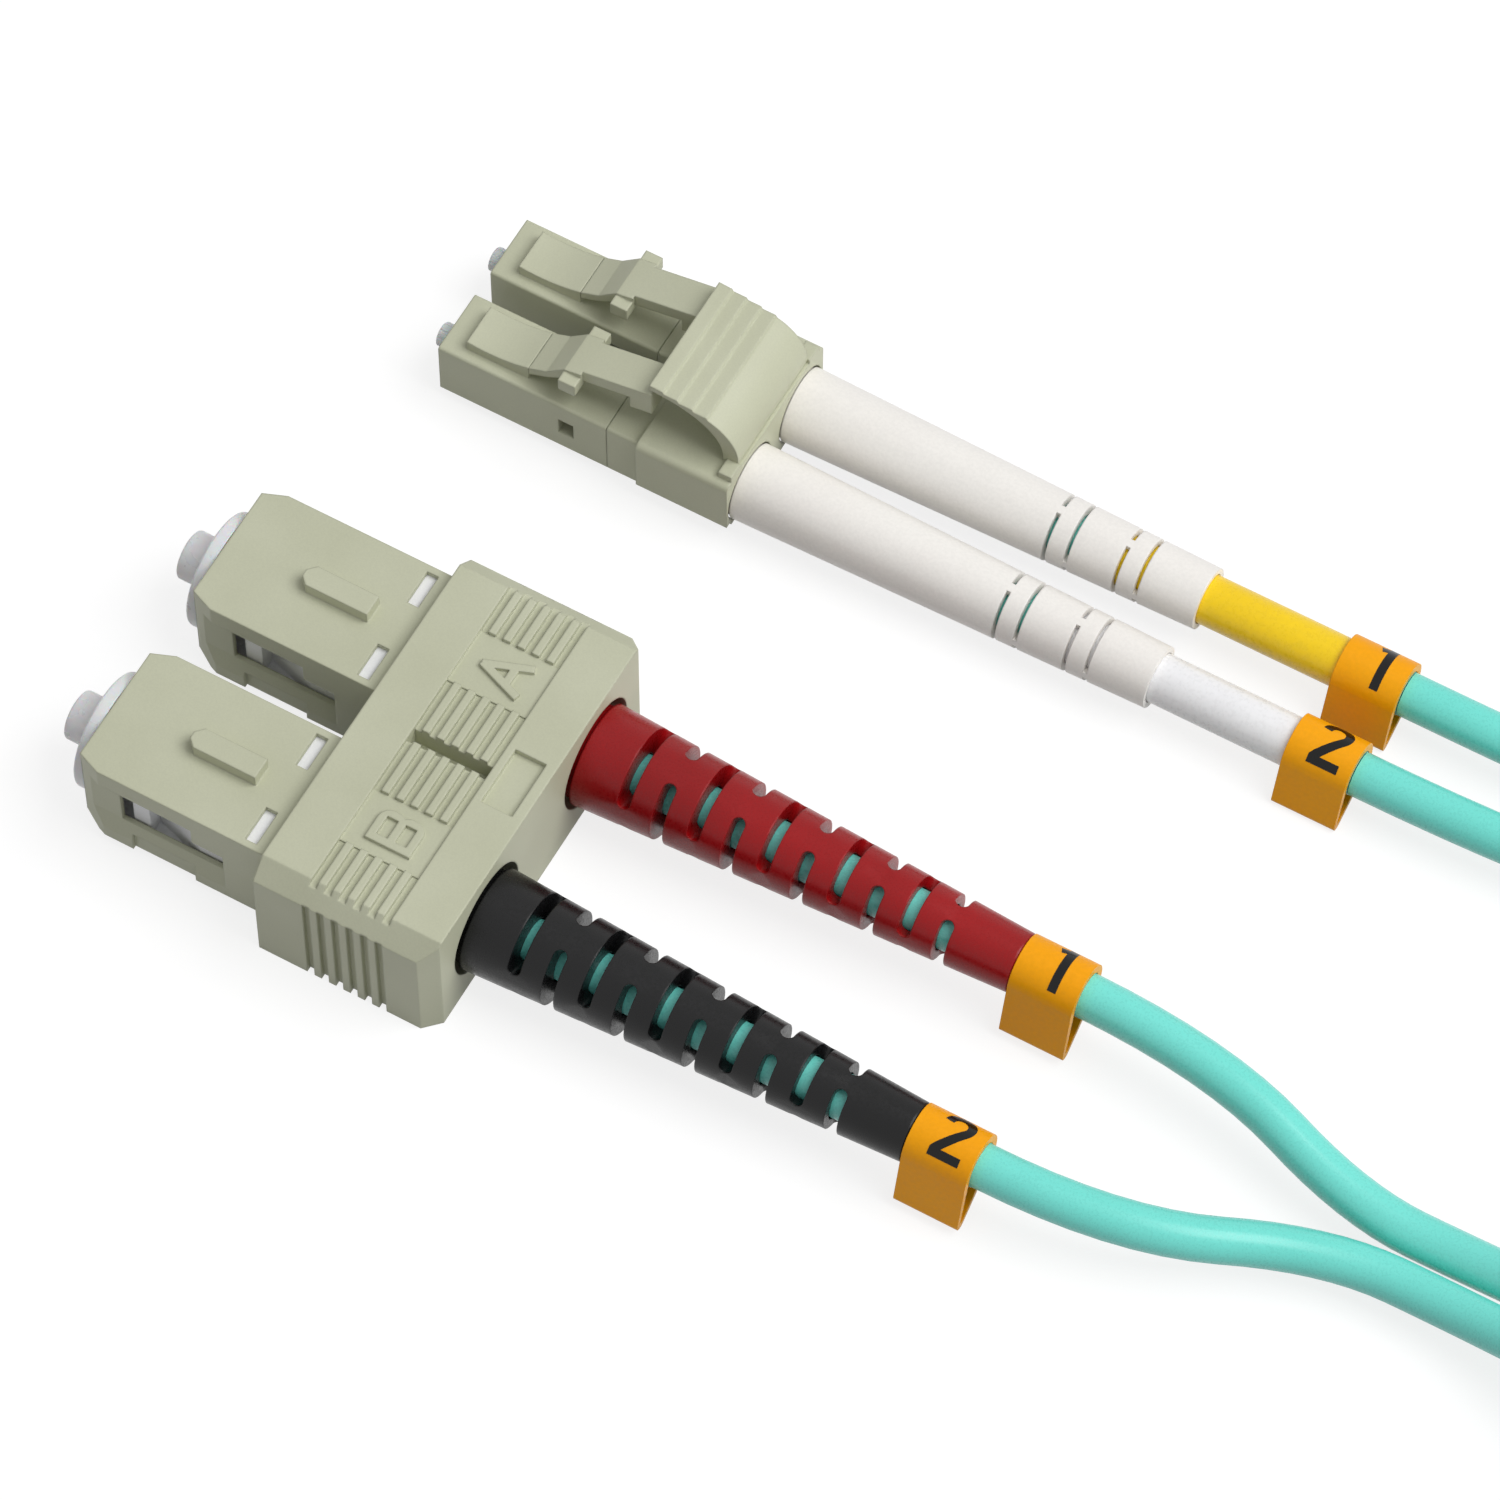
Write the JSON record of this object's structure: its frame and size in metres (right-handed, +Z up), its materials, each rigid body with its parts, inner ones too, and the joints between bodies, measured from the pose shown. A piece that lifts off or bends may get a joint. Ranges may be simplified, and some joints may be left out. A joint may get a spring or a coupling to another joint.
{
  "type": "fibre optic patch cable",
  "caption": "Duplex fibre patch cable: square push-pull plug pair on one end, latched small plug pair on the other, with boots, number tags, dust caps and tied cable coil.",
  "frame": {"origin": "middle of the underside of the clip that joins the SC plugs", "axes": "+X from the plugs' faces towards the cable, +Z up, +Y from the SC pair towards the LC pair"},
  "size_m": [0.1639, 0.0652, 0.0104],
  "materials": {
    "abs_beige": "fine matt moulding",
    "frame_white": "satin",
    "zirconia": "polished ceramic",
    "nickel": "plated",
    "spring_steel": "drawn wire",
    "cap_clear": "translucent soft plastic",
    "boot_red": "satin elastomer",
    "boot_black": "satin elastomer",
    "boot_white": "satin elastomer",
    "sleeve_yellow": "satin",
    "sleeve_white": "satin",
    "tag_orange": "satin",
    "jacket_aqua": "satin extruded jacket",
    "strap_black": "woven strap"
  },
  "bodies": {
    "root": {"sc_inner_frame_1": "frame_white", "sc_rear_body_1": "nickel", "sc_crimp_ring_1": "nickel", "sc_boot_1": "boot_red", "sc_marker_tag_1": "tag_orange", "sc_cable_end_1": "jacket_aqua", "sc_inner_frame_2": "frame_white", "sc_rear_body_2": "nickel", "sc_crimp_ring_2": "nickel", "sc_boot_2": "boot_black", "sc_marker_tag_2": "tag_orange", "sc_cable_end_2": "jacket_aqua", "lc_housing_1": "abs_beige", "lc_rear_body_1": "abs_beige", "lc_crimp_sleeve_1": "nickel", "lc_boot_1": "boot_white", "lc_colour_sleeve_1": "sleeve_yellow", "lc_marker_tag_1": "tag_orange", "lc_cable_end_1": "jacket_aqua", "lc_housing_2": "abs_beige", "lc_rear_body_2": "abs_beige", "lc_crimp_sleeve_2": "nickel", "lc_boot_2": "boot_white", "lc_colour_sleeve_2": "sleeve_white", "lc_marker_tag_2": "tag_orange", "lc_cable_end_2": "jacket_aqua", "lc_duplex_clip": "abs_beige", "cord_1_lc_leg": "jacket_aqua", "cord_2_lc_leg": "jacket_aqua", "cord_1_sc_leg": "jacket_aqua", "cord_2_sc_leg": "jacket_aqua", "cable_coil": "jacket_aqua", "coil_tie": "strap_black"},
    "sc_push_pull": {"sc_grip_1": "abs_beige", "sc_grip_2": "abs_beige", "sc_duplex_clip": "abs_beige"},
    "sc_ferrule_set_1": {"sc_ferrule_1": "zirconia", "sc_ferrule_flange_1": "nickel", "sc_spring_1": "spring_steel"},
    "lc_ferrule_set_1": {"lc_ferrule_1": "zirconia", "lc_ferrule_flange_1": "nickel", "lc_spring_1": "spring_steel"},
    "sc_cap_1": {"sc_dust_cap_1": "cap_clear"},
    "lc_cap_1": {"lc_dust_cap_1": "cap_clear"},
    "lc_latch_arm_1": {"lc_latch_1": "abs_beige"},
    "sc_ferrule_set_2": {"sc_ferrule_2": "zirconia", "sc_ferrule_flange_2": "nickel", "sc_spring_2": "spring_steel"},
    "lc_ferrule_set_2": {"lc_ferrule_2": "zirconia", "lc_ferrule_flange_2": "nickel", "lc_spring_2": "spring_steel"},
    "sc_cap_2": {"sc_dust_cap_2": "cap_clear"},
    "lc_cap_2": {"lc_dust_cap_2": "cap_clear"},
    "lc_latch_arm_2": {"lc_latch_2": "abs_beige"},
    "lc_trigger_lever": {"lc_trigger": "abs_beige"}
  },
  "joints": [
    {"name": "sc_grip_slide", "type": "slide", "parent": "root", "child": "sc_push_pull", "axis": [1, 0, 0], "range_m": [0, 0.0016]},
    {"name": "sc_ferrule_spring_1", "type": "slide", "parent": "root", "child": "sc_ferrule_set_1", "axis": [1, 0, 0], "range_m": [0, 0.0005], "stiffness_N_per_m": 2000},
    {"name": "sc_cap_pull_1", "type": "slide", "parent": "root", "child": "sc_cap_1", "axis": [-1, 0, 0], "range_m": [0, 0.012]},
    {"name": "lc_ferrule_spring_1", "type": "slide", "parent": "root", "child": "lc_ferrule_set_1", "axis": [1, 0, 0], "range_m": [0, 0.0005], "stiffness_N_per_m": 1500},
    {"name": "lc_cap_pull_1", "type": "slide", "parent": "root", "child": "lc_cap_1", "axis": [-1, 0, 0], "range_m": [0, 0.006]},
    {"name": "sc_ferrule_spring_2", "type": "slide", "parent": "root", "child": "sc_ferrule_set_2", "axis": [1, 0, 0], "range_m": [0, 0.0005], "stiffness_N_per_m": 2000},
    {"name": "sc_cap_pull_2", "type": "slide", "parent": "root", "child": "sc_cap_2", "axis": [-1, 0, 0], "range_m": [0, 0.012]},
    {"name": "lc_ferrule_spring_2", "type": "slide", "parent": "root", "child": "lc_ferrule_set_2", "axis": [1, 0, 0], "range_m": [0, 0.0005], "stiffness_N_per_m": 1500},
    {"name": "lc_cap_pull_2", "type": "slide", "parent": "root", "child": "lc_cap_2", "axis": [-1, 0, 0], "range_m": [0, 0.006]},
    {"name": "lc_trigger_hinge", "type": "hinge", "parent": "root", "child": "lc_trigger_lever", "pos_m": [0.00314, 0.03115, 0.00613], "axis": [0, 1, 0], "range_deg": [-9, 0], "stiffness_Nm_per_rad": 0.05},
    {"name": "lc_latch_hinge_1", "type": "hinge", "parent": "root", "child": "lc_latch_arm_1", "pos_m": [-0.0103, 0.03427, 0.00585], "axis": [0, 1, 0], "range_deg": [0, 5.85]},
    {"name": "lc_latch_hinge_2", "type": "hinge", "parent": "root", "child": "lc_latch_arm_2", "pos_m": [-0.0103, 0.02803, 0.00585], "axis": [0, 1, 0], "range_deg": [0, 5.85]}
  ],
  "couplings": [
    {"joint": "lc_latch_hinge_1", "follows": "lc_trigger_hinge", "ratio": -0.65},
    {"joint": "lc_latch_hinge_2", "follows": "lc_trigger_hinge", "ratio": -0.65}
  ]
}
